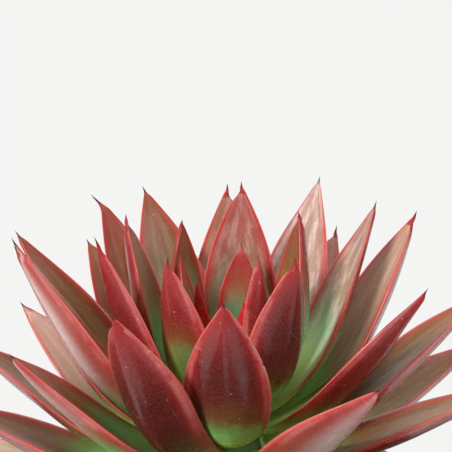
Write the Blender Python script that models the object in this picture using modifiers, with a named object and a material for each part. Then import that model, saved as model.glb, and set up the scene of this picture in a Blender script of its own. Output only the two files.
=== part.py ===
"""A rosette succulent with keeled, needle-tipped leaves in a plain clay pot, at its real size.

Metres, +Z up. The origin is the centre of the pot's flat foot, and +X and +Z lie in the picture's
plane as far as its tilt allows, so that -Y faces the viewer.
"""

from collections import namedtuple
from math import cos, pi, radians, sin

import bmesh
import bpy
import numpy as np
from mathutils import Vector

MM = 0.001
GAP = 0.3 * MM
TURN_STEPS = 32
MERGE = 0.00001

# Driving dimensions of the pot
POT_HEIGHT = 108 * MM
POT_FOOT_RADIUS = 42 * MM
POT_RIM_RADIUS = 62 * MM
POT_BAND_HEIGHT = 20 * MM
POT_BAND_STEP = 4 * MM
POT_WALL = 5 * MM
POT_FLOOR = 7 * MM
POT_EDGE = 1.2 * MM
DRAIN_COUNT = 3
DRAIN_RADIUS = 4 * MM
DRAIN_CIRCLE = 23 * MM

# Driving dimensions of the soil
SOIL_BELOW_RIM = 6 * MM
SOIL_DOME = 6 * MM
SOIL_CORNER = 2 * MM
STEM_DEPTH = 26 * MM

# Driving dimensions of the stem: a crown that tapers up into the heart, over a plain stalk
CROWN_OVER_RIM = 15 * MM
CROWN_HEIGHT = 24 * MM
CROWN_BASE_RADIUS = 9.0 * MM
CROWN_TOP_RADIUS = 3.0 * MM
STALK_RADIUS = 7.5 * MM
STALK_TOP = 14 * MM
STEM_TOP = 20 * MM
FOOT_GAP = 0.5 * MM

# How every leaf grows: its foot's slope follows its height on the crown, and its blade then
# curves to its own lift within the first part of its length
TOP_FOOT_SLOPE = 62.0
BASE_FOOT_DROOP = 3.0
BEND_END = 0.55
THIN_LEAF = 2.6 * MM
THICKNESS_PER_WIDTH = 0.1
LEAST_HALF_WIDTH = 0.45 * MM
LEAST_THICKNESS = 0.9 * MM
FOOT_WIDTH_SHARE = 0.28
WIDEST = 0.5
SLENDER_FOOT = 1.25
FULL_FOOT = 0.8
BROAD_FOOT = 0.5
LEAN = 1.0
FIRM = 1.15
PLUMP = 1.3
STOUT = 1.45
PLUMP_FROM = 0.42
CHANNEL = 0.16
INNER_CROWN = 0.10
MIDRIB_STEPS = 200

# The places of a blade's sections along its length; its point comes after the last
RINGS = (0.0, 0.08, 0.18, 0.29, 0.41, 0.53, 0.65, 0.76, 0.86, 0.93, 0.968)

# The thickness along the length, as a share of the leaf's own
THICKNESS_AT = (0.0, 0.12, 0.3, 0.55, 0.8, 0.93, 1.0)
THICKNESS_SHARE = (0.50, 0.72, 1.0, 0.90, 0.62, 0.34, 0.2)

# A section's points in order, as a place across the blade and the face it lies on
EDGE, INNER, OUTER = 0, 1, -1
SECTION = (
    (-1.0, EDGE),
    (-0.52, INNER),
    (0.0, INNER),
    (0.52, INNER),
    (1.0, EDGE),
    (0.74, OUTER),
    (0.38, OUTER),
    (0.0, OUTER),
    (-0.38, OUTER),
    (-0.74, OUTER),
)

# One leaf: its direction round the stem and its blade's lift above level in degrees; its length,
# width and foot's height over the crown's base in millimetres; its blade's roll in degrees; where
# along it the blade is widest; how fast it widens from its foot, which is full or broad where the
# neighbouring leaves give it room; and how much thicker than the thinnest leaves it grows
Leaf = namedtuple(
    "Leaf",
    "around lift length width foot roll widest swell thick",
    defaults=(0, WIDEST, SLENDER_FOOT, LEAN),
)

# The leaves that stand close round the heart, from the top down
INNER_LEAVES = (
    Leaf(79, 91, 45, 15, 21.0, swell=BROAD_FOOT, thick=STOUT),
    Leaf(168, 82, 45, 14, 21.0, roll=-2),
    Leaf(-51, 94, 48, 12, 20.5, roll=-1, swell=BROAD_FOOT, thick=FIRM),
    Leaf(-142, 79, 55, 22, 17.5, swell=BROAD_FOOT, thick=STOUT),
    Leaf(-48, 78, 57, 24, 17.5, swell=BROAD_FOOT, thick=PLUMP),
    Leaf(150, 89, 58, 20, 17.5, roll=-2, swell=FULL_FOOT, thick=PLUMP),
    Leaf(24, 86, 61, 21, 17.5, roll=-5, swell=FULL_FOOT, thick=STOUT),
    Leaf(85, 86, 70, 24, 15.0, roll=-6, swell=FULL_FOOT, thick=PLUMP),
    Leaf(165, 76, 67, 23, 14.5, roll=6, thick=PLUMP),
)

# The grown leaves that make the tall crown of points
MIDDLE_LEAVES = (
    Leaf(19, 68, 75, 25, 13.0, roll=-5, swell=FULL_FOOT),
    Leaf(122, 58, 76, 25, 13.0, roll=-3),
    Leaf(-159, 71, 72, 23, 12.5, roll=5, thick=PLUMP),
    Leaf(59, 64, 81, 26, 11.0, roll=-6, thick=FIRM),
    Leaf(-25, 52, 74, 25, 10.5, swell=FULL_FOOT, thick=FIRM),
    Leaf(136, 58, 80, 26, 10.0, roll=1),
    Leaf(-94, 68, 70, 25.5, 9.5, swell=BROAD_FOOT),
    Leaf(-163, 58, 88, 24, 9.5, swell=BROAD_FOOT, thick=STOUT),
    Leaf(18, 62, 83, 26, 9.0, swell=FULL_FOOT, thick=PLUMP),
    Leaf(92, 63, 81, 26, 8.5, thick=STOUT),
    Leaf(163, 52, 86, 25, 7.5),
    Leaf(-128, 63, 74, 26, 6.5, roll=8, widest=0.55, swell=BROAD_FOOT, thick=STOUT),
    Leaf(0, 44, 82, 26, 6.0, swell=BROAD_FOOT, thick=FIRM),
    Leaf(56, 57, 76, 25, 5.5, swell=FULL_FOOT, thick=STOUT),
    Leaf(131, 43, 81, 26, 5.5, roll=-2),
)

# The oldest leaves, which lie out over the pot
LOWER_LEAVES = (
    Leaf(-57, 43, 74, 27, 5.0, roll=-6, swell=FULL_FOOT, thick=FIRM),
    Leaf(164, 56, 87, 22, 3.5, roll=3),
    Leaf(-151, 45, 77, 26, 3.5, roll=-10, swell=FULL_FOOT, thick=FIRM),
    Leaf(-20, 30, 82, 26, 3.0, swell=FULL_FOOT),
    Leaf(110, 38, 76, 25, 2.0, thick=STOUT),
    Leaf(-110, 34, 74, 26, 2.0, swell=FULL_FOOT, thick=STOUT),
    Leaf(182, 39, 82, 26, 1.0),
    Leaf(14, 31, 76, 25, 1.0, thick=STOUT),
    Leaf(72, 35, 76, 25, 1.0, swell=FULL_FOOT, thick=STOUT),
    Leaf(-40, 17, 78, 26, 0.0, thick=STOUT),
    Leaf(150, 39, 81, 26, -1.0, thick=STOUT),
    Leaf(-169, 30, 83, 26, -2.0, swell=FULL_FOOT, thick=FIRM),
    Leaf(-80, 16, 72, 26, -2.0, swell=FULL_FOOT, thick=STOUT),
    Leaf(50, 12, 72, 25, -3.0, swell=BROAD_FOOT, thick=STOUT),
    Leaf(139, 13, 72, 25, -4.0, thick=STOUT),
    Leaf(-130, 8, 70, 25, -4.0, swell=FULL_FOOT, thick=STOUT),
    Leaf(179, 16, 80, 26, -5.0, thick=STOUT),
    Leaf(99, 12, 72, 25, -5.0, thick=STOUT),
    Leaf(0, 8, 72, 25, -5.0, swell=BROAD_FOOT, thick=STOUT),
)

# The youngest leaves that show in the heart, and the buds between them by the golden angle
HEART_LEAVES = (
    Leaf(-119, 89, 30, 8, 24.0),
    Leaf(-70, 87, 30, 8, 24.0),
    Leaf(-149, 84, 37, 11, 22.5),
)
BUD_COUNT = 3
BUD_START = 40.0
GOLDEN_ANGLE = 137.5
BUD_LENGTH = 25
BUD_SHORTER = 4
BUD_WIDTH = 6
BUD_LIFT = 87
BUD_FOOT = 24.0
HEART_ROOT = 1.3 * MM
CORE_RADIUS = 3.7 * MM
CORE_TIP_RADIUS = 1.6 * MM
CORE_HEIGHT = 6.5 * MM
CORE_SIDES = 16


def heights():
    """The heights above the pot's foot that the plant hangs on."""
    soil_top = POT_HEIGHT - SOIL_BELOW_RIM
    crown_base = POT_HEIGHT + CROWN_OVER_RIM
    return soil_top, crown_base


def clear_scene():
    for obj in list(bpy.data.objects):
        bpy.data.objects.remove(obj)


def new_collection(name):
    collection = bpy.data.collections.new(name)
    bpy.context.scene.collection.children.link(collection)
    return collection


def new_material(name, colour, roughness):
    material = bpy.data.materials.new(name)
    material.use_nodes = True
    shader = material.node_tree.nodes["Principled BSDF"]
    shader.inputs["Base Color"].default_value = (*colour, 1.0)
    shader.inputs["Roughness"].default_value = roughness
    shader.inputs["Metallic"].default_value = 0.0
    material.diffuse_color = (*colour, 1.0)
    return material


def add_object(name, mesh, collection, material):
    obj = bpy.data.objects.new(name, mesh)
    collection.objects.link(obj)
    mesh.materials.append(material)
    return obj


def turned(name, profile, collection, material):
    """A solid turned about Z from (radius, height) points that run down its outer side."""
    mesh = bpy.data.meshes.new(name)
    points = [(radius, 0.0, height) for radius, height in profile]
    edges = [(i, i + 1) for i in range(len(points) - 1)]
    mesh.from_pydata(points, edges, [])
    obj = add_object(name, mesh, collection, material)
    screw = obj.modifiers.new("turn", "SCREW")
    screw.steps = TURN_STEPS
    screw.render_steps = TURN_STEPS
    screw.use_merge_vertices = True
    screw.merge_threshold = MERGE
    screw.use_normal_calculate = True
    return obj


def round_edges(obj, width, segments):
    bevel = obj.modifiers.new("rounded edges", "BEVEL")
    bevel.width = width
    bevel.segments = segments
    bevel.limit_method = "ANGLE"
    bevel.angle_limit = radians(35)


def inner_radius(height):
    """The radius of the pot's straight inner wall at a height."""
    share = height / POT_HEIGHT
    outer = POT_FOOT_RADIUS + (POT_RIM_RADIUS - POT_BAND_STEP - POT_FOOT_RADIUS) * share
    return outer - POT_WALL


def make_pot(parts, cutters, clay):
    """A tapered pot with a thick rim band and drain holes set round the middle of its floor."""
    band_bottom = POT_HEIGHT - POT_BAND_HEIGHT
    profile = (
        (0.0, POT_FLOOR),
        (inner_radius(POT_FLOOR), POT_FLOOR),
        (inner_radius(POT_HEIGHT), POT_HEIGHT),
        (POT_RIM_RADIUS, POT_HEIGHT),
        (inner_radius(band_bottom) + POT_WALL + POT_BAND_STEP, band_bottom),
        (inner_radius(band_bottom) + POT_WALL, band_bottom - POT_BAND_STEP / 2),
        (POT_FOOT_RADIUS, 0.0),
        (0.0, 0.0),
    )
    pot = turned("pot", profile, parts, clay)
    round_edges(pot, POT_EDGE, 2)
    for i in range(DRAIN_COUNT):
        angle = 2 * pi * i / DRAIN_COUNT
        mesh = bpy.data.meshes.new(f"drain_cutter_{i + 1}")
        bm = bmesh.new()
        bmesh.ops.create_cone(
            bm,
            cap_ends=True,
            segments=16,
            radius1=DRAIN_RADIUS,
            radius2=DRAIN_RADIUS,
            depth=POT_FLOOR * 3,
        )
        bm.to_mesh(mesh)
        bm.free()
        cutter = add_object(mesh.name, mesh, cutters, clay)
        cutter.location = (DRAIN_CIRCLE * cos(angle), DRAIN_CIRCLE * sin(angle), POT_FLOOR / 2)
        cutter.hide_render = True
        cutter.display_type = "WIRE"
        drain = pot.modifiers.new(f"drain {i + 1}", "BOOLEAN")
        drain.operation = "DIFFERENCE"
        drain.object = cutter
    return pot


def make_soil(parts, material):
    """The soil inside the pot, a little domed, with a plain hole that the stem stands in."""
    soil_top, _ = heights()
    hole = STALK_RADIUS + GAP
    hole_floor = soil_top - STEM_DEPTH
    profile = (
        (0.0, hole_floor),
        (hole, hole_floor),
        (hole, soil_top + SOIL_DOME),
        (inner_radius(soil_top) * 0.6, soil_top + SOIL_DOME * 0.7),
        (inner_radius(soil_top) - GAP, soil_top),
        (inner_radius(POT_FLOOR + SOIL_CORNER) - GAP, POT_FLOOR + SOIL_CORNER),
        (inner_radius(POT_FLOOR) - SOIL_CORNER, POT_FLOOR + GAP),
        (0.0, POT_FLOOR + GAP),
    )
    return turned("soil", profile, parts, material)


def crown_radius(height):
    """The stem's radius at a height over the crown's base."""
    share = min(max(height / CROWN_HEIGHT, 0.0), 1.0)
    return CROWN_BASE_RADIUS + (CROWN_TOP_RADIUS - CROWN_BASE_RADIUS) * share


def make_stem(parts, material):
    """A short stalk, from its hole in the soil up through the rosette."""
    soil_top, crown_base = heights()
    profile = (
        (0.0, crown_base + STEM_TOP),
        (crown_radius(STEM_TOP), crown_base + STEM_TOP),
        (CROWN_BASE_RADIUS, crown_base),
        (STALK_RADIUS, crown_base - STALK_TOP),
        (STALK_RADIUS, soil_top - STEM_DEPTH + GAP),
        (0.0, soil_top - STEM_DEPTH + GAP),
    )
    return turned("stem", profile, parts, material)


def smooth(share):
    """Ease from 0 to 1 without a corner at either end."""
    share = np.clip(share, 0.0, 1.0)
    return share * share * (3.0 - 2.0 * share)


def foot_slope(foot):
    """A foot high on the crown points up; one under the crown's base droops."""
    if foot > 0.0:
        return TOP_FOOT_SLOPE * foot * MM / CROWN_HEIGHT
    return BASE_FOOT_DROOP * foot


def midrib(leaf):
    """The shares along a leaf, with its midrib's slope, reach from the axis and height there."""
    shares = np.linspace(0.0, 1.0, MIDRIB_STEPS + 1)
    first = foot_slope(leaf.foot)
    slopes = np.radians(first + (leaf.lift - first) * smooth(shares / BEND_END))
    between = (slopes[:-1] + slopes[1:]) / 2
    step = leaf.length * MM / MIDRIB_STEPS
    reach = np.concatenate([[0.0], np.cumsum(np.cos(between))]) * step
    rise = np.concatenate([[0.0], np.cumsum(np.sin(between))]) * step
    reach += crown_radius(leaf.foot * MM) + FOOT_GAP
    rise += heights()[1] + leaf.foot * MM
    return shares, slopes, reach, rise


def width_share(leaf, share):
    """The blade's width along its length: a narrow foot, a broad middle and a needle point."""
    if share < leaf.widest:
        swollen = sin(pi / 2 * share / leaf.widest) ** leaf.swell
        return FOOT_WIDTH_SHARE + (1.0 - FOOT_WIDTH_SHARE) * swollen
    past = (share - leaf.widest) / (1.0 - leaf.widest)
    return (1.0 - past**1.65) * (1.0 - 0.38 * past**5)


def section(leaf, share):
    """The points of one section, as offsets across the blade and towards its inner face."""
    half = max(leaf.width * MM / 2 * width_share(leaf, share), LEAST_HALF_WIDTH)
    full = THIN_LEAF + THICKNESS_PER_WIDTH * leaf.width * MM
    full *= 1.0 + (leaf.thick - 1.0) * smooth(share / PLUMP_FROM)
    thickness = max(full * np.interp(share, THICKNESS_AT, THICKNESS_SHARE), LEAST_THICKNESS)
    channel = CHANNEL * half * smooth(share / 0.3) * (1.0 - 0.5 * smooth((share - 0.7) / 0.3))
    keel = smooth((share - 0.15) / 0.5)
    points = []
    for across, face in SECTION:
        inward = 1.0 - abs(across)
        depth = channel * across**2
        if face == INNER:
            depth += INNER_CROWN * thickness * inward**2
        if face == OUTER:
            round_back = 1.0 - across**2
            keeled_back = 0.45 * round_back + 0.55 * (1.0 - abs(across) ** 1.15)
            depth -= thickness * ((1.0 - keel) * round_back + keel * keeled_back)
        points.append((across * half, depth))
    return points


def leaf_mesh(name, leaf, root=0.0):
    """A leaf as a loft of its sections; a root runs its foot back into what it grows from."""
    shares, slopes, reach, rise = midrib(leaf)
    around = radians(leaf.around)
    outward = Vector((cos(around), sin(around), 0.0))
    sideways = Vector((-sin(around), cos(around), 0.0))
    up = Vector((0.0, 0.0, 1.0))
    points = []
    for share in RINGS:
        slope = np.interp(share, shares, slopes)
        middle = outward * np.interp(share, shares, reach) + up * np.interp(share, shares, rise)
        if share == 0.0:
            middle -= (outward * cos(slope) + up * sin(slope)) * root
        inner = up * cos(slope) - outward * sin(slope)
        roll = radians(leaf.roll) * smooth(share / 0.5)
        across_axis = sideways * cos(roll) + inner * sin(roll)
        inner_axis = inner * cos(roll) - sideways * sin(roll)
        for across, depth in section(leaf, share):
            points.append(middle + across_axis * across + inner_axis * depth)
    points.append(outward * reach[-1] + up * rise[-1])

    count = len(SECTION)
    last = (len(RINGS) - 1) * count
    tip = last + count
    faces = [tuple(reversed(range(count)))]
    for ring in range(len(RINGS) - 1):
        for i in range(count):
            here = ring * count + i
            beside = ring * count + (i + 1) % count
            faces.append((here, beside, beside + count, here + count))
    for i in range(count):
        faces.append((last + i, last + (i + 1) % count, tip))

    mesh = bpy.data.meshes.new(name)
    mesh.from_pydata(points, [], faces)
    bm = bmesh.new()
    bm.from_mesh(mesh)
    bmesh.ops.recalc_face_normals(bm, faces=bm.faces)
    bm.to_mesh(mesh)
    bm.free()
    mesh.shade_smooth()
    return mesh


def make_leaves(parts, material):
    """One object for each leaf that stands by itself on the crown."""
    tiers = {"inner": INNER_LEAVES, "middle": MIDDLE_LEAVES, "lower": LOWER_LEAVES}
    for tier, leaves in tiers.items():
        for number, leaf in enumerate(leaves, start=1):
            name = f"{tier}_leaf_{number:02d}"
            add_object(name, leaf_mesh(name, leaf), parts, material)


def heart_buds():
    """The youngest leaves, each turned by the golden angle from the one before."""
    for i in range(BUD_COUNT):
        around = BUD_START + GOLDEN_ANGLE * i
        yield Leaf(around, BUD_LIFT, BUD_LENGTH - BUD_SHORTER * i, BUD_WIDTH, BUD_FOOT)


def make_heart(parts, material):
    """The growing point: young leaves rooted in one small cone on top of the stem."""
    _, crown_base = heights()
    core_mesh = bpy.data.meshes.new("heart")
    bm = bmesh.new()
    bmesh.ops.create_cone(
        bm,
        cap_ends=True,
        segments=CORE_SIDES,
        radius1=CORE_RADIUS,
        radius2=CORE_TIP_RADIUS,
        depth=CORE_HEIGHT,
    )
    core_middle = crown_base + STEM_TOP + GAP + CORE_HEIGHT / 2
    bmesh.ops.translate(bm, verts=bm.verts, vec=(0.0, 0.0, core_middle))
    bm.to_mesh(core_mesh)
    bm.free()
    heart = add_object("heart", core_mesh, parts, material)

    young = new_collection("young leaves")
    for i, leaf in enumerate((*HEART_LEAVES, *heart_buds())):
        name = f"young_{i + 1}"
        add_object(name, leaf_mesh(name, leaf, HEART_ROOT), young, material)
    union = heart.modifiers.new("union", "BOOLEAN")
    union.operation = "UNION"
    union.operand_type = "COLLECTION"
    union.collection = young
    union.solver = "MANIFOLD"
    bpy.context.view_layer.objects.active = heart
    bpy.ops.object.modifier_apply(modifier=union.name)
    for obj in list(young.objects):
        bpy.data.objects.remove(obj)
    bpy.data.collections.remove(young)
    return heart


def build():
    clear_scene()
    parts = new_collection("potted rosette succulent")
    cutters = new_collection("cutters")
    leaf_red = new_material("leaf", (0.22, 0.035, 0.04), 0.35)
    heart_red = new_material("young_leaf", (0.30, 0.04, 0.05), 0.35)
    stalk_green = new_material("stalk", (0.24, 0.23, 0.10), 0.6)
    earth = new_material("earth", (0.05, 0.033, 0.022), 0.95)
    clay = new_material("clay", (0.48, 0.19, 0.10), 0.8)
    make_pot(parts, cutters, clay)
    make_soil(parts, earth)
    make_stem(parts, stalk_green)
    make_heart(parts, heart_red)
    make_leaves(parts, leaf_red)


build()
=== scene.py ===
import random
from math import cos, pi, radians, sin

import bmesh
import bpy
from mathutils import Matrix, Vector, noise


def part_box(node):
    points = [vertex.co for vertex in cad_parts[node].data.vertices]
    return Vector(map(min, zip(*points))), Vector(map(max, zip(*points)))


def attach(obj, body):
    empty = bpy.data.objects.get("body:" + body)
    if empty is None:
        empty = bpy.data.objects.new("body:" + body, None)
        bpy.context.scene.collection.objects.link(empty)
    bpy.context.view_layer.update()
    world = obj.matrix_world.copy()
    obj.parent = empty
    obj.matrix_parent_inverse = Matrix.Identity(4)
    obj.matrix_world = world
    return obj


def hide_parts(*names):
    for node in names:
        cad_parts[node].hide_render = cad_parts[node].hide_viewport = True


# The plant is dressed from the pot up: pot, soil, stem, leaves and heart, all on one body. Its CAD
# solids give the places and sizes.
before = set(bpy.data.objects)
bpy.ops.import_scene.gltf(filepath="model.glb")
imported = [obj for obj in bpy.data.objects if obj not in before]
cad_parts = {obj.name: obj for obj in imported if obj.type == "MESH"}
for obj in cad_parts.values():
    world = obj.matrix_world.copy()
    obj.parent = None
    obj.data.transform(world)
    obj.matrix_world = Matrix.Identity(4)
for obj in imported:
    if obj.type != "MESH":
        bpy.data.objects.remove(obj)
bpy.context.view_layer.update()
MM = 0.001

# The pot is plain red clay, turned on a wheel and fired without a glaze. It tapers to a flat foot,
# has a thick band round its rim and three drain holes, and carries the lime bloom, the faint
# turning rings and the rubbed edges of a pot that has been watered for some years.
POT_SIDES = 96
FOOT_RADIUS = 42 * MM
BAND_HEIGHT = 20 * MM
BAND_STEP = 4 * MM
WALL = 5 * MM
FOOT_THICKNESS = 7 * MM
ROUNDING = 1.4 * MM
SHARP_ANGLE = radians(35)
DRAIN_RADIUS = 4 * MM
DRAIN_CIRCLE = 23 * MM
DRAIN_COUNT = 3
DRAIN_SIDES = 32
_, pot_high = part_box("pot")
pot_height = pot_high.z
rim_radius = pot_high.x


def wall_radius(height):
    """The outer radius of the tapered wall, under its band."""
    return FOOT_RADIUS + (rim_radius - BAND_STEP - FOOT_RADIUS) * height / pot_height


def activate(obj):
    """Leave one object selected and active, in object mode."""
    bpy.ops.object.select_all(action="DESELECT")
    obj.select_set(True)
    bpy.context.view_layer.objects.active = obj


def apply_modifiers(obj):
    """Work all of a piece's modifiers into its mesh, in their order."""
    activate(obj)
    for modifier in list(obj.modifiers):
        bpy.ops.object.modifier_apply(modifier=modifier.name)


def settle(obj):
    """Put a piece's place into its mesh, so that its object sits unturned at the origin."""
    activate(obj)
    bpy.ops.object.transform_apply(location=True, rotation=True, scale=True)


def grow_ring(rise, radius_from, radius_to):
    """Extrude the selected round face to a new height and radius."""
    bpy.ops.mesh.extrude_region_move()
    bpy.ops.transform.translate(value=(0, 0, rise))
    share = radius_to / radius_from
    bpy.ops.transform.resize(value=(share, share, 1), center_override=(0, 0, 0))


band_bottom = pot_height - BAND_HEIGHT
band_radius = wall_radius(band_bottom) + BAND_STEP
taper_height = band_bottom - BAND_STEP / 2
bpy.ops.object.select_all(action="DESELECT")
bpy.ops.mesh.primitive_cone_add(
    vertices=POT_SIDES,
    radius1=FOOT_RADIUS,
    radius2=wall_radius(band_bottom),
    depth=taper_height,
    location=(0, 0, taper_height / 2),
)
pot = bpy.context.active_object
pot.name = "clay_pot"
settle(pot)
bpy.ops.object.mode_set(mode="EDIT")
bpy.ops.mesh.select_mode(type="FACE")
bpy.ops.mesh.select_all(action="DESELECT")
shell = bmesh.from_edit_mesh(pot.data)
for face in shell.faces:
    face.select = face.normal.z > 0.9
bmesh.update_edit_mesh(pot.data)
mouth_radius = wall_radius(pot_height) - WALL
grow_ring(BAND_STEP / 2, wall_radius(band_bottom), band_radius)
grow_ring(BAND_HEIGHT, band_radius, rim_radius)
grow_ring(0, rim_radius, mouth_radius)
grow_ring(FOOT_THICKNESS - pot_height, mouth_radius, wall_radius(FOOT_THICKNESS) - WALL)
bpy.ops.object.mode_set(mode="OBJECT")
rounding = pot.modifiers.new("rounding", "BEVEL")
rounding.width = ROUNDING
rounding.segments = 4
rounding.limit_method = "ANGLE"
rounding.angle_limit = SHARP_ANGLE
drain_bits = []
for i in range(DRAIN_COUNT):
    angle = 2 * pi * i / DRAIN_COUNT
    bpy.ops.mesh.primitive_cylinder_add(
        vertices=DRAIN_SIDES,
        radius=DRAIN_RADIUS,
        depth=FOOT_THICKNESS * 3,
        location=(DRAIN_CIRCLE * cos(angle), DRAIN_CIRCLE * sin(angle), FOOT_THICKNESS / 2),
    )
    drain_bits.append(bpy.context.active_object)
    drain = pot.modifiers.new("drain", "BOOLEAN")
    drain.operation = "DIFFERENCE"
    drain.object = drain_bits[-1]
apply_modifiers(pot)
for bit in drain_bits:
    bpy.data.objects.remove(bit)
activate(pot)
bpy.ops.object.shade_smooth_by_angle(angle=SHARP_ANGLE)


def colour(code):
    """A six-digit screen colour as the linear values that shaders take."""
    values = [int(code[i : i + 2], 16) / 255 for i in (0, 2, 4)]
    return tuple(v / 12.92 if v < 0.04045 else ((v + 0.055) / 1.055) ** 2.4 for v in values)


def fill_socket(tree, socket, value):
    """Link another socket to this one, or set its plain number or colour."""
    if isinstance(value, bpy.types.NodeSocket):
        tree.links.new(value, socket)
    elif isinstance(value, tuple):
        socket.default_value = (*value, 1)
    else:
        socket.default_value = value


def add_node(tree, kind, **inputs):
    """A node with its inputs filled by name, with _ for a space."""
    made = tree.nodes.new(kind)
    for key, value in inputs.items():
        fill_socket(tree, made.inputs[key.replace("_", " ")], value)
    return made


def maths(tree, operation, first, second=0.0, clamp=False):
    made = tree.nodes.new("ShaderNodeMath")
    made.operation = operation
    made.use_clamp = clamp
    fill_socket(tree, made.inputs[0], first)
    fill_socket(tree, made.inputs[1], second)
    return made.outputs[0]


def ease(tree, value, start, end):
    """A mask that eases from 0 at start to 1 at end; it falls where end is the lower."""
    made = tree.nodes.new("ShaderNodeMapRange")
    made.interpolation_type = "SMOOTHSTEP"
    low, high = min(start, end), max(start, end)
    made.inputs["From Min"].default_value = low
    made.inputs["From Max"].default_value = high
    made.inputs["To Min"].default_value = 0.0 if start < end else 1.0
    made.inputs["To Max"].default_value = 1.0 if start < end else 0.0
    tree.links.new(value, made.inputs["Value"])
    return made.outputs["Result"]


def blend_colours(tree, share, first, second):
    """The first colour where the share is 0, and the second where it is 1."""
    made = tree.nodes.new("ShaderNodeMix")
    made.data_type = "RGBA"
    fill_socket(tree, made.inputs["Factor"], share)
    fill_socket(tree, made.inputs[6], first)
    fill_socket(tree, made.inputs[7], second)
    return made.outputs[2]


def patches(tree, place, scale, detail=3.0, rough=0.55):
    """Cloudy variation between 0 and 1 over the given places."""
    return add_node(
        tree, "ShaderNodeTexNoise", Vector=place, Scale=scale, Detail=detail, Roughness=rough
    ).outputs["Fac"]


def new_group(name, inputs, outputs):
    """A shader group with named sockets: (name, kind) in, and (name, kind) out."""
    group = bpy.data.node_groups.new(name, "ShaderNodeTree")
    for socket, kind in inputs:
        group.interface.new_socket(name=socket, in_out="INPUT", socket_type=kind)
    for socket, kind in outputs:
        group.interface.new_socket(name=socket, in_out="OUTPUT", socket_type=kind)
    return group, group.nodes.new("NodeGroupInput"), group.nodes.new("NodeGroupOutput")


def new_material(name):
    """A material with its tree of nodes and the shader in it."""
    material = bpy.data.materials.new(name)
    material.use_nodes = True
    return material, material.node_tree, material.node_tree.nodes["Principled BSDF"]


def object_place(tree):
    return tree.nodes.new("ShaderNodeTexCoord").outputs["Object"]


# Grain is shared by the clay, the soil, its loose grains and the stalk: a fine grit for the bump,
# and a soft cloudiness that varies the colour.
grain, taken, given = new_group(
    "fine grain",
    [
        ("Place", "NodeSocketVector"),
        ("Grit Scale", "NodeSocketFloat"),
        ("Cloud Scale", "NodeSocketFloat"),
    ],
    [("Grit", "NodeSocketFloat"), ("Cloud", "NodeSocketFloat")],
)
grit = patches(grain, taken.outputs["Place"], taken.outputs["Grit Scale"], 4.0, 0.7)
cloud = patches(grain, taken.outputs["Place"], taken.outputs["Cloud Scale"], 5.0, 0.6)
grain.links.new(grit, given.inputs["Grit"])
grain.links.new(cloud, given.inputs["Cloud"])


def add_group(tree, group, **inputs):
    """A shader group placed in a material, with its inputs filled as a node's are."""
    made = tree.nodes.new("ShaderNodeGroup")
    made.node_tree = group
    for key, value in inputs.items():
        fill_socket(tree, made.inputs[key.replace("_", " ")], value)
    return made


LIME_TOP = 50 * MM
LIME_FULL = 4 * MM
LIME_EVERYWHERE = 0.16
fired_clay, tree, shader = new_material("fired clay")
place = object_place(tree)
clay_grain = add_group(tree, grain, Place=place, Grit_Scale=1800.0, Cloud_Scale=34.0)
height = tree.nodes.new("ShaderNodeSeparateXYZ")
tree.links.new(place, height.inputs[0])
body = blend_colours(tree, clay_grain.outputs["Cloud"], colour("a8593a"), colour("c97a52"))
lime_patches = ease(tree, patches(tree, place, 58.0, 6.0, 0.68), 0.50, 0.72)
near_foot = maths(tree, "ADD", ease(tree, height.outputs["Z"], LIME_TOP, LIME_FULL), LIME_EVERYWHERE)
lime = maths(tree, "MULTIPLY", lime_patches, near_foot, clamp=True)
limed = blend_colours(tree, lime, body, colour("dcc9b6"))
speck = ease(tree, clay_grain.outputs["Grit"], 0.62, 0.74)
tree.links.new(blend_colours(tree, speck, limed, colour("8a4a31")), shader.inputs["Base Color"])
rings = tree.nodes.new("ShaderNodeTexWave")
rings.bands_direction = "Z"
rings.inputs["Scale"].default_value = 210.0
rings.inputs["Distortion"].default_value = 2.5
rings.inputs["Detail"].default_value = 2.0
tree.links.new(place, rings.inputs["Vector"])
turned = maths(tree, "MULTIPLY", rings.outputs["Fac"], 0.5)
relief = maths(tree, "ADD", turned, clay_grain.outputs["Grit"])
bump = add_node(tree, "ShaderNodeBump", Height=relief, Strength=0.28, Distance=0.0004)
tree.links.new(bump.outputs["Normal"], shader.inputs["Normal"])
shader.inputs["Roughness"].default_value = 0.82
pot.data.materials.clear()
pot.data.materials.append(fired_clay)
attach(pot, "root")
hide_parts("pot")

# The soil is a dark, free-draining mix of peat and bark with pale grit. Its solid fills the pot
# and keeps its place; a crumbled skin lies on it, with loose grains that are modelled once each
# and scattered over it.
STALK_RADIUS = 7.5 * MM
SOIL_BELOW_RIM = 6 * MM
SOIL_CLEARANCE = 0.6 * MM
SKIN_RINGS = 22
SKIN_SIDES = 120
SKIN_THICKNESS = 2.4 * MM
SKIN_LIFT_MM = 0.9
CRUMB_RELIEF_MM = 0.7
BARK_COUNT = 260
BARK_RADIUS = 2.6 * MM
CRUMB_COUNT = 480
CRUMB_RADIUS = 1.3 * MM
GRIT_COUNT = 160
GRIT_RADIUS = 1.0 * MM
_, soil_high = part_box("soil")
soil_edge = pot_height - SOIL_BELOW_RIM
soil_rim = wall_radius(soil_edge) - WALL - SOIL_CLEARANCE


def soil_height(x, y):
    """The height of the domed and crumbled soil at a place."""
    out = min((x * x + y * y) ** 0.5 / soil_rim, 1.0)
    dome = (soil_high.z - soil_edge) * (1.0 - 0.5 * out - 0.5 * out**3)
    crumbs = noise.fractal(Vector((x, y, 0.0)) * 240.0, 1.0, 2.2, 4)
    return soil_edge + dome + (SKIN_LIFT_MM + crumbs * CRUMB_RELIEF_MM) * MM


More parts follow.
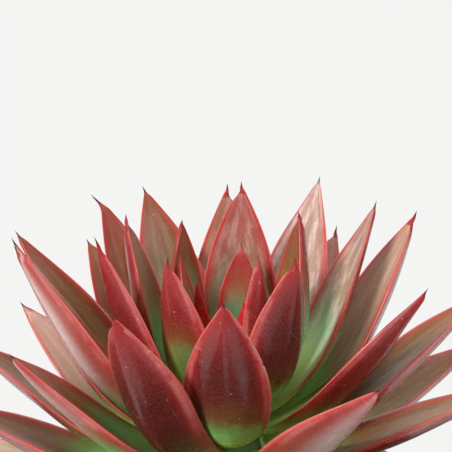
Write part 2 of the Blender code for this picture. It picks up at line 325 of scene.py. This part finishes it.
bpy.ops.object.select_all(action="DESELECT")
bpy.ops.mesh.primitive_circle_add(vertices=SKIN_SIDES, radius=soil_rim, fill_type="NGON")
soil_skin = bpy.context.active_object
soil_skin.name = "soil_surface"
bpy.ops.object.mode_set(mode="EDIT")
bpy.ops.mesh.select_all(action="SELECT")
for _ in range(SKIN_RINGS):
    bpy.ops.mesh.inset(thickness=(soil_rim - STALK_RADIUS) / SKIN_RINGS)
bpy.ops.mesh.delete(type="FACE")
bpy.ops.object.mode_set(mode="OBJECT")
for vertex in soil_skin.data.vertices:
    vertex.co.z = soil_height(vertex.co.x, vertex.co.y)
thick = soil_skin.modifiers.new("thickness", "SOLIDIFY")
thick.thickness = SKIN_THICKNESS
thick.offset = -1.0
apply_modifiers(soil_skin)
bpy.ops.object.shade_smooth()

damp_soil, tree, shader = new_material("peat and bark")
place = object_place(tree)
soil_grain = add_group(tree, grain, Place=place, Grit_Scale=900.0, Cloud_Scale=130.0)
earth = blend_colours(tree, soil_grain.outputs["Cloud"], colour("1d140f"), colour("4a3628"))
fibre = ease(tree, soil_grain.outputs["Grit"], 0.58, 0.72)
tree.links.new(blend_colours(tree, fibre, earth, colour("6d543d")), shader.inputs["Base Color"])
bump = add_node(
    tree, "ShaderNodeBump", Height=soil_grain.outputs["Grit"], Strength=0.8, Distance=0.0008
)
tree.links.new(bump.outputs["Normal"], shader.inputs["Normal"])
shader.inputs["Roughness"].default_value = 0.95
soil_skin.data.materials.append(damp_soil)
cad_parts["soil"].data.materials.clear()
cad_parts["soil"].data.materials.append(damp_soil)
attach(soil_skin, "root")


def crumb_material(name, dark, light):
    """A dull, grainy finish between two colours, for loose grains."""
    material, tree, shader = new_material(name)
    place = object_place(tree)
    crumb_grain = add_group(tree, grain, Place=place, Grit_Scale=1500.0, Cloud_Scale=260.0)
    shade = blend_colours(tree, crumb_grain.outputs["Cloud"], dark, light)
    tree.links.new(shade, shader.inputs["Base Color"])
    bump = add_node(
        tree, "ShaderNodeBump", Height=crumb_grain.outputs["Grit"], Strength=0.6, Distance=0.0003
    )
    tree.links.new(bump.outputs["Normal"], shader.inputs["Normal"])
    shader.inputs["Roughness"].default_value = 0.9
    return material


def scatter_grains(name, count, radius, flatness, material, seed):
    """Loose grains of one kind, joined in one piece, lying on the soil with their own turns."""
    chance = random.Random(seed)
    bpy.ops.object.select_all(action="DESELECT")
    bpy.ops.mesh.primitive_ico_sphere_add(subdivisions=2, radius=1.0)
    grain_body = bpy.context.active_object
    for vertex in grain_body.data.vertices:
        vertex.co *= 1.0 + 0.35 * noise.noise(vertex.co * 1.7 + Vector((seed, 0, 0)))
    heap = bmesh.new()
    for _ in range(count):
        out = STALK_RADIUS + (soil_rim - STALK_RADIUS - radius * 1.5) * chance.random() ** 0.5
        around = chance.random() * 2 * pi
        x, y = out * cos(around), out * sin(around)
        long = radius * (0.5 + 0.8 * chance.random())
        middle = soil_height(x, y) + long * flatness * 0.3
        turn = Matrix.Rotation(chance.random() * 2 * pi, 4, "Z")
        lean = Matrix.Rotation((chance.random() - 0.5) * 0.9, 4, "X")
        wide = long * (0.5 + 0.5 * chance.random())
        shape = Matrix.Diagonal((long, wide, long * flatness, 1))
        copy = grain_body.data.copy()
        copy.transform(Matrix.Translation((x, y, middle)) @ turn @ lean @ shape)
        heap.from_mesh(copy)
        bpy.data.meshes.remove(copy)
    mesh = bpy.data.meshes.new(name)
    heap.to_mesh(mesh)
    heap.free()
    bpy.data.objects.remove(grain_body)
    piece = bpy.data.objects.new(name, mesh)
    bpy.context.scene.collection.objects.link(piece)
    activate(piece)
    bpy.ops.object.shade_smooth()
    mesh.materials.append(material)
    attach(piece, "root")


bark = crumb_material("bark chip", colour("2b1b12"), colour("6b4630"))
pale_grit = crumb_material("pale grit", colour("8d8478"), colour("cfc8bb"))
scatter_grains("bark_chips", BARK_COUNT, BARK_RADIUS, 0.35, bark, seed=3)
scatter_grains("peat_crumbs", CRUMB_COUNT, CRUMB_RADIUS, 0.8, damp_soil, seed=5)
scatter_grains("grit_grains", GRIT_COUNT, GRIT_RADIUS, 0.85, pale_grit, seed=7)

# The stem is the short green-brown stalk that the leaves grow from, corky where old leaves have
# dropped. Its solid stays and gets its skin here.
GREEN_ABOVE_SOIL = 16 * MM
stalk_skin, tree, shader = new_material("corky stalk")
place = object_place(tree)
stalk_grain = add_group(tree, grain, Place=place, Grit_Scale=700.0, Cloud_Scale=90.0)
cork = blend_colours(tree, stalk_grain.outputs["Cloud"], colour("5a4a30"), colour("8d8058"))
height = tree.nodes.new("ShaderNodeSeparateXYZ")
tree.links.new(place, height.inputs[0])
green_top = ease(tree, height.outputs["Z"], soil_high.z, soil_high.z + GREEN_ABOVE_SOIL)
tree.links.new(blend_colours(tree, green_top, cork, colour("6f9450")), shader.inputs["Base Color"])
bump = add_node(
    tree, "ShaderNodeBump", Height=stalk_grain.outputs["Grit"], Strength=0.6, Distance=0.0006
)
tree.links.new(bump.outputs["Normal"], shader.inputs["Normal"])
shader.inputs["Roughness"].default_value = 0.6
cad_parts["stem"].data.materials.clear()
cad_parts["stem"].data.materials.append(stalk_skin)

# The leaves are thick and waxy: keeled behind, lightly channelled in front, with sharp crimson
# edges and a dark needle at the point. Each is a merged copy of its solid, made smooth from the
# rings of points that run across it, which also mark where on the leaf the colours lie.
_, stem_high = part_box("stem")
CROWN_MIDDLE = Vector((0, 0, stem_high.z - 20 * MM))
MERGE_DISTANCE = 0.02 * MM
EDGE_CREASE = 0.55
KEEL_CREASE = 0.15
SMOOTH_LEVELS = 2
DENT_DEPTH = 0.45 * MM
DENT_SCALE = 50.0
NEEDLE_NECK = 0.03
NEEDLE_START = 0.955
NEEDLE_PINCH = 0.5
CURL_START = 0.94

# How a leaf's points are told apart by their place across it, 0 on its middle line and 1 on its
# edges, and which step across or between its two faces marks a diagonal
ON_EDGE = 0.95
ON_MIDDLE = 0.1
CHANNEL_FROM = 0.45
CHANNEL_TO = 0.6
STEP_ACROSS = 0.12
STEP_BETWEEN_FACES = 0.3
KEEL_FACE = 0.25

# How dried and dark the needles of each tier are
NEEDLE_DRIED = {"inner": 0.25, "middle": 1.0, "lower": 1.0}

# The dried needles that turn aside, and how far their points move
NEEDLE_CURLS = {
    "middle_leaf_01": Vector((0.2, 0, 0.5)) * MM,
    "middle_leaf_02": Vector((-0.7, 0, 0.4)) * MM,
    "middle_leaf_03": Vector((-0.9, 0, 0.6)) * MM,
    "middle_leaf_06": Vector((-3.0, 0, 1.2)) * MM,
    "middle_leaf_08": Vector((-0.5, 0, 0.6)) * MM,
}

# How each leaf looks: its outer face's tone, from crimson at 0 over maroon to dusty pink at 1, its
# inner face's, from russet at 0 over olive to a pale tan at 1 that is partly painted light coming
# through a back leaf, how far up from the foot its green runs, and how much painted sheen, a
# whitish painted reflection, its inner face has. A leaf not named takes its tier's values.
TIER_LOOK = {
    "inner": (0.10, 0.35, 0.60, 0.10),
    "middle": (0.20, 0.50, 0.42, 0.15),
    "lower": (0.35, 0.50, 0.44, 0.02),
}
LEAF_LOOK = {
    "inner_leaf_01": (0.05, 0.00, 0.60, 0.05),
    "inner_leaf_02": (0.35, 0.30, 0.48, 0.05),
    "inner_leaf_03": (0.00, 0.30, 0.30, 0.05),
    "inner_leaf_04": (0.05, 0.40, 0.50, 0.05),
    "inner_leaf_05": (0.50, 0.40, 0.34, 0.05),
    "inner_leaf_06": (0.10, 0.42, 0.70, 0.05),
    "inner_leaf_07": (0.10, 0.50, 0.62, 0.05),
    "inner_leaf_08": (0.30, 0.20, 0.56, 0.50),
    "inner_leaf_09": (0.05, 0.48, 0.54, 0.05),
    "middle_leaf_01": (0.15, 0.62, 0.56, 0.55),
    "middle_leaf_02": (0.30, 0.50, 0.30, 0.10),
    "middle_leaf_03": (0.20, 0.45, 0.34, 0.05),
    "middle_leaf_04": (0.20, 0.68, 0.46, 0.95),
    "middle_leaf_05": (0.10, 0.50, 0.34, 0.05),
    "middle_leaf_06": (0.30, 0.32, 0.30, 0.10),
    "middle_leaf_07": (0.50, 0.50, 0.38, 0.00),
    "middle_leaf_08": (0.95, 0.46, 0.36, 0.05),
    "middle_leaf_09": (0.30, 0.74, 0.34, 0.15),
    "middle_leaf_10": (0.40, 0.60, 0.25, 0.30),
    "middle_leaf_11": (0.20, 0.42, 0.42, 0.05),
    "middle_leaf_12": (0.50, 0.50, 0.08, 0.00),
    "middle_leaf_13": (0.90, 0.50, 0.34, 0.00),
    "middle_leaf_14": (0.80, 1.00, 0.30, 0.00),
    "middle_leaf_15": (0.80, 0.52, 0.30, 0.10),
    "lower_leaf_01": (0.80, 0.50, 0.14, 0.00),
    "lower_leaf_03": (0.92, 0.46, 0.54, 0.05),
    "lower_leaf_04": (0.50, 0.42, 0.30, 0.00),
    "lower_leaf_07": (0.80, 0.55, 0.50, 0.05),
    "lower_leaf_11": (0.90, 0.94, 0.50, 0.30),
    "lower_leaf_12": (0.30, 0.45, 0.50, 0.05),
    "lower_leaf_17": (0.90, 0.95, 0.70, 0.20),
}


def rings_from_tip(leaf):
    """The leaf's points in rings, by how many edges they lie from its tip."""
    tip = max(leaf.verts, key=lambda v: (v.co - CROWN_MIDDLE).length)
    rings = [[tip]]
    seen = {tip}
    while rings[-1]:
        beyond = {e.other_vert(v) for v in rings[-1] for e in v.link_edges} - seen
        seen |= beyond
        rings.append(sorted(beyond, key=lambda v: v.index))
    return rings[:-1]


def widest_pair(ring):
    """The two points of a ring that lie farthest apart, which are on the leaf's edges."""
    pairs = [(a, b) for a in ring for b in ring if a.index < b.index]
    return max(pairs, key=lambda pair: (pair[0].co - pair[1].co).length)


def middle_of(ring):
    """The mean place of a ring's points."""
    return sum((v.co for v in ring), Vector()) / len(ring)


def mark_places(leaf):
    """Write on each point how far along, how far across and on which face it lies."""
    along = leaf.verts.layers.float.new("along")
    across = leaf.verts.layers.float.new("across")
    inside = leaf.verts.layers.float.new("inside")
    leaf.verts.layers.float.new("crease_vert")
    leaf.edges.layers.float.new("crease_edge")
    rings = rings_from_tip(leaf)
    middles = [middle_of(ring) for ring in rings]
    steps = [(b - a).length for a, b in zip(middles, middles[1:])]
    tip = rings[0][0]
    tip[along], tip[inside] = 1.0, 0.5
    outward = Vector((tip.co.x, tip.co.y, 0)).normalized()
    sideways = Vector((0, 0, 1)).cross(outward)
    for number in range(1, len(rings)):
        ring = rings[number]
        left, right = widest_pair(ring)
        if (right.co - left.co).dot(sideways) < 0:
            left, right = right, left
        middle = (left.co + right.co) / 2
        half = (right.co - left.co).length / 2
        over = (right.co - left.co).normalized()
        onward = (middles[number - 1] - middles[number]).normalized()
        inner = over.cross(onward)
        if inner.dot(Vector((0, 0, 1)) - outward) < 0:
            inner.negate()
        for vertex in ring:
            offset = vertex.co - middle
            vertex[along] = 1.0 - sum(steps[:number]) / sum(steps)
            vertex[across] = offset.dot(over) / half
        for vertex in ring:
            place = abs(vertex[across])
            level = [v for v in ring if abs(v[across] - vertex[across]) < ON_MIDDLE]
            top = max(level, key=lambda v: v.co.dot(inner))
            in_channel = CHANNEL_FROM < place < CHANNEL_TO
            near_face = in_channel or (place < ON_MIDDLE and top is vertex)
            vertex[inside] = 0.5 if place > ON_EDGE else float(near_face)
    return rings, along, across, inside


def clear_diagonals(leaf, rings, across, inside):
    """Join the triangles back into the four-sided faces between two rings."""
    ring_of = {v: number for number, ring in enumerate(rings) for v in ring}
    diagonals = []
    for edge in leaf.edges:
        a, b = edge.verts
        sideways = abs(a[across] - b[across]) > STEP_ACROSS
        turned = sideways or abs(a[inside] - b[inside]) > STEP_BETWEEN_FACES
        if ring_of[a] != ring_of[b] and turned and 0 not in (ring_of[a], ring_of[b]):
            diagonals.append(edge)
    last = len(rings) - 1
    for edge in leaf.edges:
        if all(ring_of[v] == last for v in edge.verts) and len(edge.link_faces) == 2:
            if all(ring_of[v] == last for face in edge.link_faces for v in face.verts):
                diagonals.append(edge)
    bmesh.ops.dissolve_edges(leaf, edges=diagonals, use_verts=False)


def crease_lines(leaf, rings, across, inside):
    """Keep the two edges and the tip sharp, and the keel a soft ridge."""
    crease = leaf.edges.layers.float["crease_edge"]
    rings[0][0][leaf.verts.layers.float["crease_vert"]] = 1.0
    ring_of = {v: number for number, ring in enumerate(rings) for v in ring}
    for edge in leaf.edges:
        a, b = edge.verts
        if ring_of[a] == ring_of[b]:
            continue
        if all(abs(v[across]) > ON_EDGE or ring_of[v] == 0 for v in edge.verts):
            edge[crease] = EDGE_CREASE
        if all(abs(v[across]) < ON_MIDDLE and v[inside] < KEEL_FACE for v in edge.verts):
            edge[crease] = KEEL_CREASE


def soften_by_hand(mesh, seed, curl):
    """Small dents and swellings over the blade, and a finer needle, curled, at its point."""
    shares = [point.value for point in mesh.attributes["along"].data]
    tip = mesh.vertices[shares.index(max(shares))].co.copy()
    neck = NEEDLE_START - NEEDLE_NECK
    start = [v.co for v in mesh.vertices if neck < shares[v.index] < NEEDLE_START]
    root = sum(start, Vector()) / len(start)
    line = (tip - root).normalized()
    normals = [v.normal.copy() for v in mesh.vertices]
    own_dents = Vector((seed * 3.7, 0, 0))
    for vertex in mesh.vertices:
        share = shares[vertex.index]
        swell = noise.noise(vertex.co * DENT_SCALE + own_dents)
        hold = min(share * 3, 1.0) * min((1.0 - share) * 6, 1.0)
        vertex.co += normals[vertex.index] * swell * DENT_DEPTH * hold
        if share > NEEDLE_START:
            pinch = NEEDLE_PINCH * min((share - NEEDLE_START) / (1 - NEEDLE_START) * 2, 1.0)
            on_line = root + line * (vertex.co - root).dot(line)
            vertex.co = vertex.co.lerp(on_line, pinch)
        if share > CURL_START:
            vertex.co += curl * ((share - CURL_START) / (1 - CURL_START)) ** 2


def merged_copy(node, name):
    """A piece of its own from a solid's mesh, with its loose triangles joined."""
    piece = bpy.data.objects.new(name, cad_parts[node].data.copy())
    bpy.context.scene.collection.objects.link(piece)
    activate(piece)
    bpy.ops.object.mode_set(mode="EDIT")
    bpy.ops.mesh.select_all(action="SELECT")
    bpy.ops.mesh.remove_doubles(threshold=MERGE_DISTANCE)
    bpy.ops.object.mode_set(mode="OBJECT")
    return piece


def round_off(piece):
    """Smooth a piece's mesh into flowing faces, except along its creases."""
    smooth = piece.modifiers.new("smooth", "SUBSURF")
    smooth.levels = SMOOTH_LEVELS
    smooth.render_levels = SMOOTH_LEVELS
    apply_modifiers(piece)


def fill_attribute(mesh, name, value):
    """Write one value on all of a mesh's points, under a name that its material reads."""
    made = mesh.attributes.new(name, "FLOAT", "POINT")
    made.data.foreach_set("value", [value] * len(mesh.vertices))


def grown_leaf(node, seed):
    """The finished leaf that stands for one leaf's solid."""
    piece = merged_copy(node, node.replace("leaf", "blade"))
    leaf = bmesh.new()
    leaf.from_mesh(piece.data)
    leaf.verts.ensure_lookup_table()
    rings, along, across, inside = mark_places(leaf)
    clear_diagonals(leaf, rings, across, inside)
    crease_lines(leaf, rings, across, inside)
    leaf.to_mesh(piece.data)
    leaf.free()
    round_off(piece)
    soften_by_hand(piece.data, seed, NEEDLE_CURLS.get(node, Vector()))
    tier = node.split("_")[0]
    look = LEAF_LOOK.get(node, TIER_LOOK[tier])
    fill_attribute(piece.data, "dried", NEEDLE_DRIED[tier])
    for name, value in zip(("outer_tone", "inner_tone", "green", "painted_sheen"), look):
        fill_attribute(piece.data, name, value)
    bpy.ops.object.shade_smooth()
    return piece


def read(tree, name):
    """The value that a mesh's points hold under a name."""
    made = tree.nodes.new("ShaderNodeAttribute")
    made.attribute_name = name
    return made.outputs["Fac"]


CLOUD_SCALE = 75.0
MOTTLE_SCALE = 420.0
FINE_SCALE = 3400.0
RIB_STRETCH = (4.0, 1.0, 1.0)
SMEAR_STRETCH = (3.0, 7.0, 1.0)
leaf_skin, taken, given = new_group(
    "leaf skin",
    [("Place", "NodeSocketVector")],
    [
        ("Colour", "NodeSocketColor"),
        ("Roughness", "NodeSocketFloat"),
        ("Wax", "NodeSocketFloat"),
        ("Height", "NodeSocketFloat"),
    ],
)
place = taken.outputs["Place"]
along = read(leaf_skin, "along")
across = read(leaf_skin, "across")
side = maths(leaf_skin, "ABSOLUTE", across)
inside = ease(leaf_skin, read(leaf_skin, "inside"), 0.40, 0.60)
outer_tone = read(leaf_skin, "outer_tone")
inner_tone = read(leaf_skin, "inner_tone")
cloud = patches(leaf_skin, place, CLOUD_SCALE, 4.0, 0.6)
mottle = patches(leaf_skin, place, MOTTLE_SCALE, 3.0, 0.6)
fine = patches(leaf_skin, place, FINE_SCALE, 1.0)
blade_place = add_node(leaf_skin, "ShaderNodeCombineXYZ", X=across, Y=along)
stretch = add_node(leaf_skin, "ShaderNodeMapping", Vector=blade_place.outputs[0])
stretch.inputs["Scale"].default_value = RIB_STRETCH
ribs = ease(leaf_skin, patches(leaf_skin, stretch.outputs[0], 1.0, 1.0), 0.12, 0.88)
dabs = add_node(leaf_skin, "ShaderNodeMapping", Vector=blade_place.outputs[0])
dabs.inputs["Scale"].default_value = SMEAR_STRETCH
smears = ease(leaf_skin, patches(leaf_skin, dabs.outputs[0], 1.0, 3.0), 0.42, 0.62)


def blend(share, first, second):
    return blend_colours(leaf_skin, share, first, second)


def product(first, *others):
    """All the given masks and numbers multiplied."""
    for other in others:
        first = maths(leaf_skin, "MULTIPLY", first, other)
    return first


def total(first, *others):
    """All the given masks and numbers added."""
    for other in others:
        first = maths(leaf_skin, "ADD", first, other)
    return first


# The outer face is crimson by its edges and dark maroon down its middle, or dusty pink where a leaf
# is older, with a whitish band along its keel that is partly waxy bloom and partly painted
# reflection of the pale floor; it is vivid red where a leaf is young
crimson = blend(cloud, colour("8c181e"), colour("b02e34"))
maroon = blend(cloud, colour("401312"), colour("6a2826"))
dusty = blend(cloud, colour("a44a42"), colour("c06c5e"))
vivid = blend(cloud, colour("b8101e"), colour("dc2a34"))
middle = ease(leaf_skin, side, 1.0, 0.60)
depth = maths(leaf_skin, "MULTIPLY", total(product(outer_tone, 1.2), 0.45), middle, clamp=True)
outer = blend(product(depth, ease(leaf_skin, along, 1.15, 0.70)), crimson, maroon)
# A whitish band along the keel: partly waxy bloom, partly painted reflection of the pale floor
bloom_and_keel_reflection = product(ease(leaf_skin, side, 0.72, 0.16), ease(leaf_skin, along, 0.10, 0.35))
dusty = blend(bloom_and_keel_reflection, dusty, colour("f2e2dc"))
outer = blend(ease(leaf_skin, outer_tone, 0.5, 1.0), outer, dusty)
outer = blend(ease(leaf_skin, outer_tone, 0.0, -1.0), outer, vivid)

# The inner face is russet or olive, and pale tan on a leaf at the back: partly its own tan and
# partly painted light, the glow of light coming through it
russet = blend(cloud, colour("96322a"), colour("ca5c4e"))
olive = blend(ribs, colour("564518"), colour("8e7035"))
# Pale tan: partly the leaf's own colour, partly painted light coming through a back leaf
pale = blend(ribs, colour("d6a686"), colour("f2d2ba"))
inner = blend(ease(leaf_skin, inner_tone, 0.0, 0.5), russet, olive)
inner = blend(ease(leaf_skin, inner_tone, 0.5, 1.0), inner, pale)
# Painted sheen: how much whitish painted reflection each leaf's inner face takes, in smears
painted_sheen = product(read(leaf_skin, "painted_sheen"), total(product(smears, 0.7), 0.3))
body = blend(inside, outer, inner)

# Green runs up from the foot, farthest along the middle, through a brownish yellow
wander = total(product(cloud, 0.18), product(ribs, 0.04), -0.11)
reach = total(along, wander, product(maths(leaf_skin, "POWER", side, 3.0), 0.12))
green_reach = read(leaf_skin, "green")
from_foot = maths(leaf_skin, "DIVIDE", reach, green_reach)
body = blend(product(ease(leaf_skin, from_foot, 1.55, 1.0), 0.45), body, colour("90783a"))
warm_greens = blend(cloud, colour("46c478"), colour("a6e868"))
cool_greens = blend(cloud, colour("26b082"), colour("84dca8"))
greens = blend(ease(leaf_skin, green_reach, 0.50, 0.58), warm_greens, cool_greens)
# Pale near the foot: partly the leaf's own paler base, partly painted light brightening the shaded
# foot
greens = blend(ease(leaf_skin, from_foot, 0.95, 0.40), greens, colour("d6fc98"))
body = blend(ease(leaf_skin, from_foot, 1.20, 0.72), body, greens)

# Painted sheen: whitish smears of painted reflection over some inner faces
body = blend(product(painted_sheen, inside), body, colour("ecd8d0"))

# The edges are red, with a thin salmon line of painted light where light would come through them,
# and a broken whitish line of painted highlight just inside the outer face's edges
soft_edge = product(ease(leaf_skin, side, 0.40, 1.0), ease(leaf_skin, inner_tone, 1.1, 0.55))
soft_edge = product(soft_edge, total(product(inside, 0.30), 0.15))
edge_band = product(ease(leaf_skin, side, 0.74, 0.96), 0.60)
edges = product(total(soft_edge, edge_band), ease(leaf_skin, along, 0.05, 0.30))
body = blend(edges, body, colour("c4242a"))
not_pale = total(product(ease(leaf_skin, product(inner_tone, inside), 0.75, 0.30), 0.75), 0.25)
body = blend(product(ease(leaf_skin, along, 0.60, 0.95), not_pale, 0.5), body, colour("b02428"))
# Painted highlight: a broken whitish line just inside the outer face's edges
painted_edge_highlight = product(ease(leaf_skin, side, 0.78, 0.88), ease(leaf_skin, side, 0.97, 0.88))
outside = maths(leaf_skin, "SUBTRACT", 1.0, inside)
painted_edge_highlight = product(painted_edge_highlight, outside, ease(leaf_skin, cloud, 0.35, 0.60))
body = blend(product(painted_edge_highlight, ease(leaf_skin, along, 0.25, 0.5), 0.3), body, colour("f4bcb2"))
# Painted light: a thin salmon line on the very edge, as if light came through it
painted_backlit_fringe = product(ease(leaf_skin, side, 0.90, 1.0), ease(leaf_skin, along, 0.15, 0.4), 0.70)
body = blend(painted_backlit_fringe, body, colour("ec8078"))

# Fine specks, a few grains of dust and faint scratches lie over it all
body = blend(product(ease(leaf_skin, fine, 0.50, 0.68), 0.22), body, colour("d8706a"))
body = blend(product(ease(leaf_skin, fine, 0.50, 0.32), 0.26), body, colour("34100e"))
dust = add_node(leaf_skin, "ShaderNodeTexVoronoi", Vector=place, Scale=420.0)
dusted = ease(leaf_skin, patches(leaf_skin, place, 150.0, 1.0), 0.52, 0.60)
dust_grains = product(ease(leaf_skin, dust.outputs["Distance"], 0.11, 0.05), dusted, 0.6)
body = blend(dust_grains, body, colour("ecd8d0"))
hatch = add_node(
    leaf_skin, "ShaderNodeTexWave", Vector=place, Scale=28.0, Distortion=3.0, Detail=1.0
)
hatch.bands_direction = "DIAGONAL"
scuffed = ease(leaf_skin, patches(leaf_skin, place, 70.0, 1.0), 0.62, 0.68)
scratches = product(ease(leaf_skin, hatch.outputs["Fac"], 0.998, 1.0), scuffed, 0.14)
body = blend(scratches, body, colour("e0b4aa"))
needle = blend(read(leaf_skin, "dried"), colour("701622"), colour("2c1a22"))
body = blend(ease(leaf_skin, along, 0.962, 0.985), body, needle)
leaf_skin.links.new(body, given.inputs["Colour"])
dull_tip = product(ease(leaf_skin, along, 0.86, 0.94), 0.25)
roughness = total(product(mottle, 0.26), product(inside, 0.12), dull_tip, 0.12)
leaf_skin.links.new(roughness, given.inputs["Roughness"])
wax = product(total(product(inside, -0.20), 0.31), ease(leaf_skin, along, 0.94, 0.86))
leaf_skin.links.new(wax, given.inputs["Wax"])
broad = patches(leaf_skin, place, 110.0, 2.0)
relief = total(broad, product(ribs, inside, 0.10), product(mottle, 0.22), product(fine, 0.04))
leaf_skin.links.new(relief, given.inputs["Height"])

waxy_leaf, tree, shader = new_material("waxy red leaf")
skin = add_group(tree, leaf_skin, Place=object_place(tree))
tree.links.new(skin.outputs["Colour"], shader.inputs["Base Color"])
tree.links.new(skin.outputs["Roughness"], shader.inputs["Roughness"])
bump = add_node(
    tree, "ShaderNodeBump", Height=skin.outputs["Height"], Strength=0.5, Distance=0.0009
)
tree.links.new(bump.outputs["Normal"], shader.inputs["Normal"])
tree.links.new(skin.outputs["Wax"], shader.inputs["Coat Weight"])
shader.inputs["Specular IOR Level"].default_value = 0.32
shader.inputs["Subsurface Weight"].default_value = 0.25
shader.inputs["Subsurface Radius"].default_value = (1.0, 0.4, 0.25)
shader.inputs["Subsurface Scale"].default_value = 0.003
shader.inputs["Coat Roughness"].default_value = 0.20

leaf_nodes = sorted(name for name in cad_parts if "_leaf_" in name)
for seed, node in enumerate(leaf_nodes):
    blade = grown_leaf(node, seed)
    blade.data.materials.clear()
    blade.data.materials.append(waxy_leaf)
    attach(blade, "root")
    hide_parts(node)

# The heart is the growing point: the youngest leaves, still small, joined at their feet. It is a
# merged copy of its solid, softened, and its colours run by height. Its tone of -1 is vivid red.
HEART_LOOK = {
    "across": 0.3,
    "inside": 0.0,
    "outer_tone": -1.0,
    "inner_tone": 0.0,
    "green": 0.3,
    "painted_sheen": 0.0,
    "dried": NEEDLE_DRIED["inner"],
}
heart_low, heart_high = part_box("heart")
heart_rise = heart_high.z - heart_low.z
heart = merged_copy("heart", "young_heart")
round_off(heart)
bpy.ops.object.shade_smooth()
mesh = heart.data
made = mesh.attributes.new("along", "FLOAT", "POINT")
made.data.foreach_set("value", [(v.co.z - heart_low.z) / heart_rise for v in mesh.vertices])
for name, value in HEART_LOOK.items():
    fill_attribute(mesh, name, value)
mesh.materials.clear()
mesh.materials.append(waxy_leaf)
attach(heart, "root")
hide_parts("heart")

# The plant stands on a plain pale floor in a white room, under three broad soft lights: left, right
# and behind. All are far off, so the floor is evenly lit; it throws less light back than it shows.
FLOOR_SIZE = 14.0
FLOOR_SEEN = (0.634, 0.634, 0.628)
FLOOR_LIGHTING = (0.55, 0.55, 0.55)
LAMP_DISTANCE = 3.0
bpy.ops.object.select_all(action="DESELECT")
bpy.ops.mesh.primitive_plane_add(size=FLOOR_SIZE, location=(0, 0, 0))
floor = bpy.context.active_object
floor.name = "floor"
pale_floor, tree, shader = new_material("pale floor")
softened = tree.nodes.new("ShaderNodeLightPath").outputs["Is Diffuse Ray"]
paper = blend_colours(tree, softened, FLOOR_SEEN, FLOOR_LIGHTING)
tree.links.new(paper, shader.inputs["Base Color"])
shader.inputs["Roughness"].default_value = 0.9
shader.inputs["Specular IOR Level"].default_value = 0.1
floor.data.materials.append(pale_floor)

ROOM_GLOW = 0.25
ROOM_SEEN = 0.89
CEILING_MIRRORED = 0.3
WALLS_MIRRORED = 0.8
ROOM_COLOUR = (1.0, 0.995, 0.98, 1)
world = bpy.data.worlds.new("white room")
world.use_nodes = True
room = world.node_tree.nodes["Background"]
room.inputs["Color"].default_value = ROOM_COLOUR
path = world.node_tree.nodes.new("ShaderNodeLightPath").outputs
seen = maths(world.node_tree, "MULTIPLY", path["Is Camera Ray"], ROOM_SEEN)
facing = world.node_tree.nodes.new("ShaderNodeTexCoord").outputs["Generated"]
height = world.node_tree.nodes.new("ShaderNodeSeparateXYZ")
world.node_tree.links.new(facing, height.inputs[0])
walls = ease(world.node_tree, height.outputs["Z"], 0.55, 0.05)
walls = maths(world.node_tree, "MULTIPLY", walls, WALLS_MIRRORED)
walls = maths(world.node_tree, "ADD", walls, CEILING_MIRRORED)
mirrored = maths(world.node_tree, "MULTIPLY", path["Is Glossy Ray"], walls)
brightest = maths(world.node_tree, "MAXIMUM", seen, mirrored)
brightest = maths(world.node_tree, "MAXIMUM", brightest, ROOM_GLOW)
world.node_tree.links.new(brightest, room.inputs["Strength"])
bpy.context.scene.world = world


def soft_light(name, around, height, width, strength):
    """A far light as wide as a big softbox: its direction and apparent width are in degrees."""
    light = bpy.data.lights.new(name, "SUN")
    light.angle = radians(width)
    light.energy = strength
    lamp = bpy.data.objects.new(name, light)
    flat = cos(radians(height))
    place = Vector((flat * cos(radians(around)), flat * sin(radians(around)), sin(radians(height))))
    lamp.location = place * LAMP_DISTANCE
    lamp.rotation_euler = place.to_track_quat("Z", "Y").to_euler()
    bpy.context.scene.collection.objects.link(lamp)


soft_light("light from the left", around=225, height=32, width=18, strength=2.85)
soft_light("light from the right", around=-22, height=36, width=30, strength=0.8)
soft_light("light behind", around=95, height=60, width=50, strength=2.0)

# The camera looks down a little at the rosette from close by, and leaves most of the pot out. Its
# lens is worked out from its focal length in picture points.
PITCH = 17.0
DISTANCE = 0.452
FOCAL_PIXELS = 1500.0
PICTURE_PIXELS = 452.0
PLANT_AT = (234.0, 456.0)
SENSOR_WIDTH = 36.0
camera = bpy.data.objects.new("camera", bpy.data.cameras.new("camera"))
bpy.context.scene.collection.objects.link(camera)
camera.data.sensor_width = SENSOR_WIDTH
camera.data.lens = SENSOR_WIDTH * FOCAL_PIXELS / PICTURE_PIXELS
camera.data.dof.use_dof = False
camera.data.clip_start = 0.01
camera.data.clip_end = 50.0
toward = Vector((0, cos(radians(PITCH)), -sin(radians(PITCH))))
upward = Vector((0, sin(radians(PITCH)), cos(radians(PITCH))))
aside = (PLANT_AT[0] - PICTURE_PIXELS / 2) * DISTANCE / FOCAL_PIXELS
below = (PLANT_AT[1] - PICTURE_PIXELS / 2) * DISTANCE / FOCAL_PIXELS
camera.location = CROWN_MIDDLE - toward * DISTANCE + upward * below - Vector((aside, 0, 0))
camera.rotation_euler = (radians(90 - PITCH), 0, 0)
bpy.context.scene.camera = camera
bpy.context.scene.view_settings.view_transform = "Standard"
